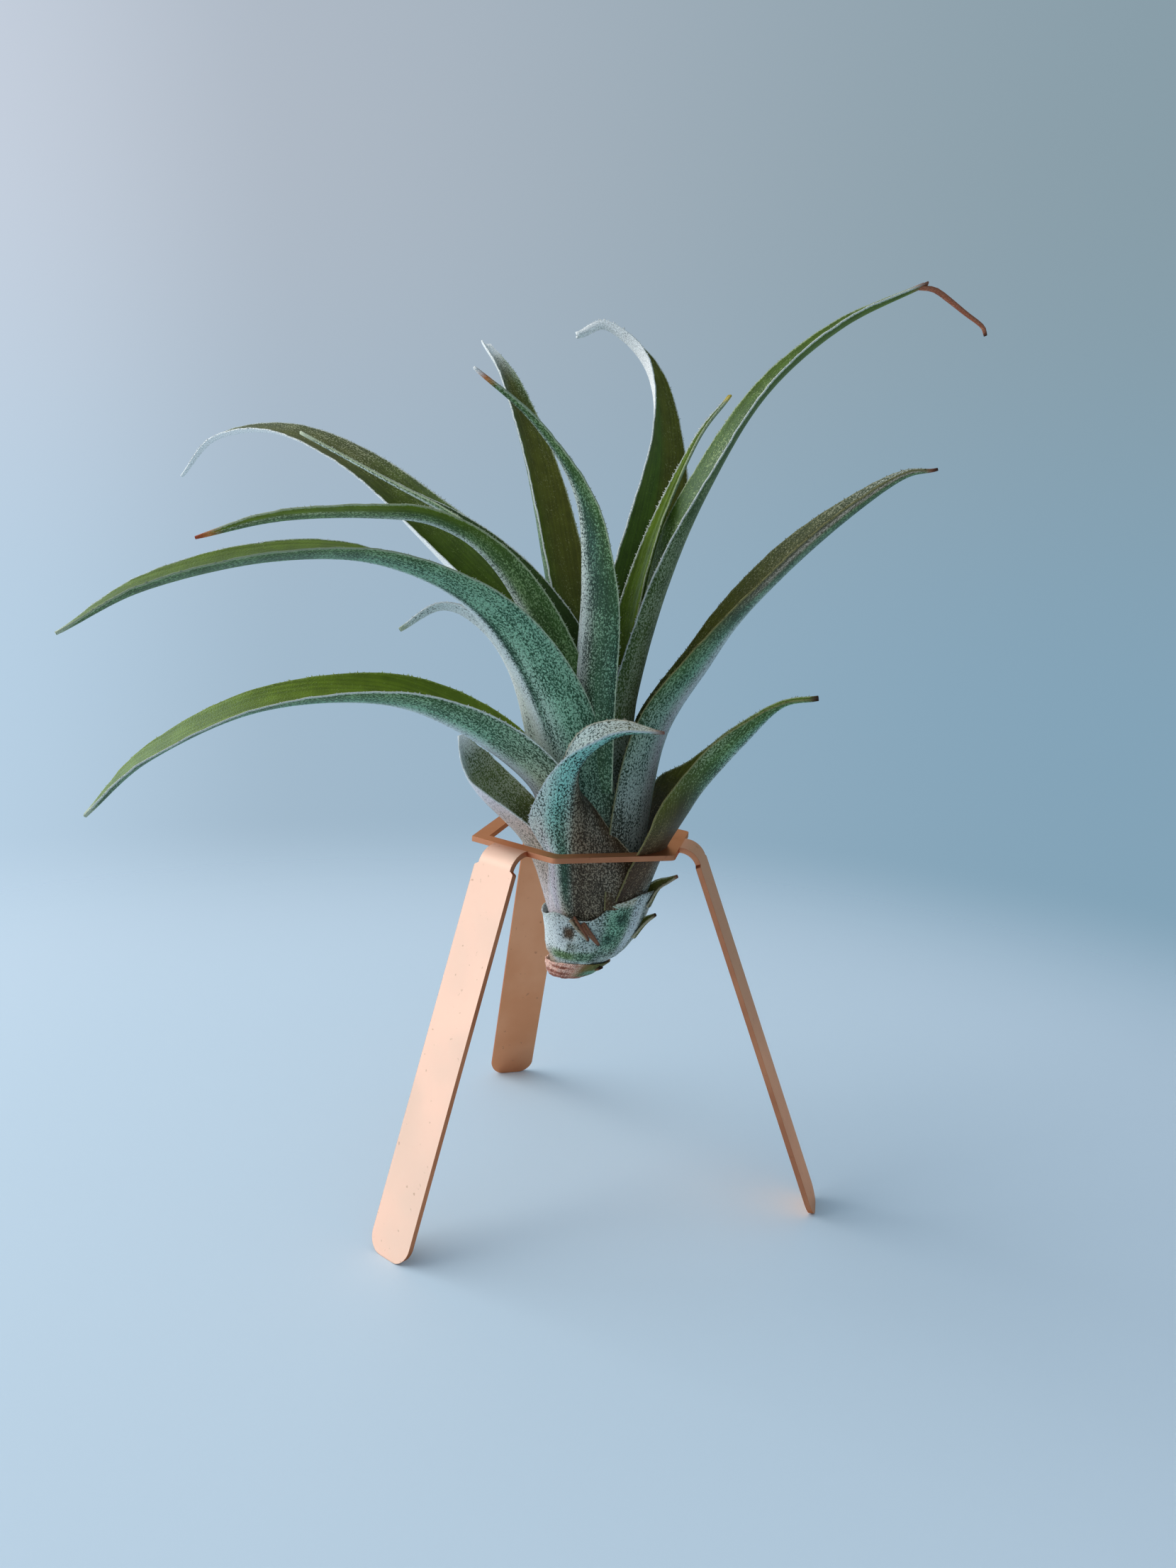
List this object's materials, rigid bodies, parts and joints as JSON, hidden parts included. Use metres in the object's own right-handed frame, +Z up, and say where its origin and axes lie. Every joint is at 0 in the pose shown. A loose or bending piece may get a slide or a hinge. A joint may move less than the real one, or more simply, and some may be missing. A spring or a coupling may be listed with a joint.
{
  "type": "air plant in a copper tripod stand",
  "caption": "Young air plant with arching, channelled, silver-speckled leaves, standing in a hexagonal ring on three bent legs of copper sheet.",
  "frame": {"origin": "centre of the object's box, on the surface that the three feet stand on", "axes": "+Z up; +Y away from the viewer of the picture; the long left-hand leaves reach towards -X"},
  "size_m": [0.1712, 0.1139, 0.1806],
  "materials": {
    "copper": "satin copper sheet",
    "teal_leaf": "green leaf under a fine coat of silver scales",
    "green_leaf": "satin green leaf",
    "olive_leaf": "olive leaf, speckled with scales",
    "silver_leaf": "silver scaled sheath",
    "papery_scale": "dry papery scale",
    "dry_scale": "dead brown leaf tip"
  },
  "bodies": {
    "root": {"stand": "copper", "stem": "silver_leaf", "leaf_right_narrow": "green_leaf", "leaf_left_narrow": "green_leaf", "leaf_centre_curled": "green_leaf", "leaf_front_tall": "teal_leaf", "leaf_back_tall": "green_leaf", "leaf_right_tall": "green_leaf", "leaf_left_high": "green_leaf", "leaf_left_middle": "teal_leaf", "leaf_left_front": "teal_leaf", "leaf_right_middle": "olive_leaf", "leaf_left_white": "silver_leaf", "leaf_left_low": "teal_leaf", "leaf_right_low": "olive_leaf", "leaf_left_short": "olive_leaf", "leaf_front_short": "teal_leaf", "lower_sheath_cup": "silver_leaf", "papery_base_scale": "papery_scale", "lower_bract": "dry_scale"}
  },
  "joints": []
}
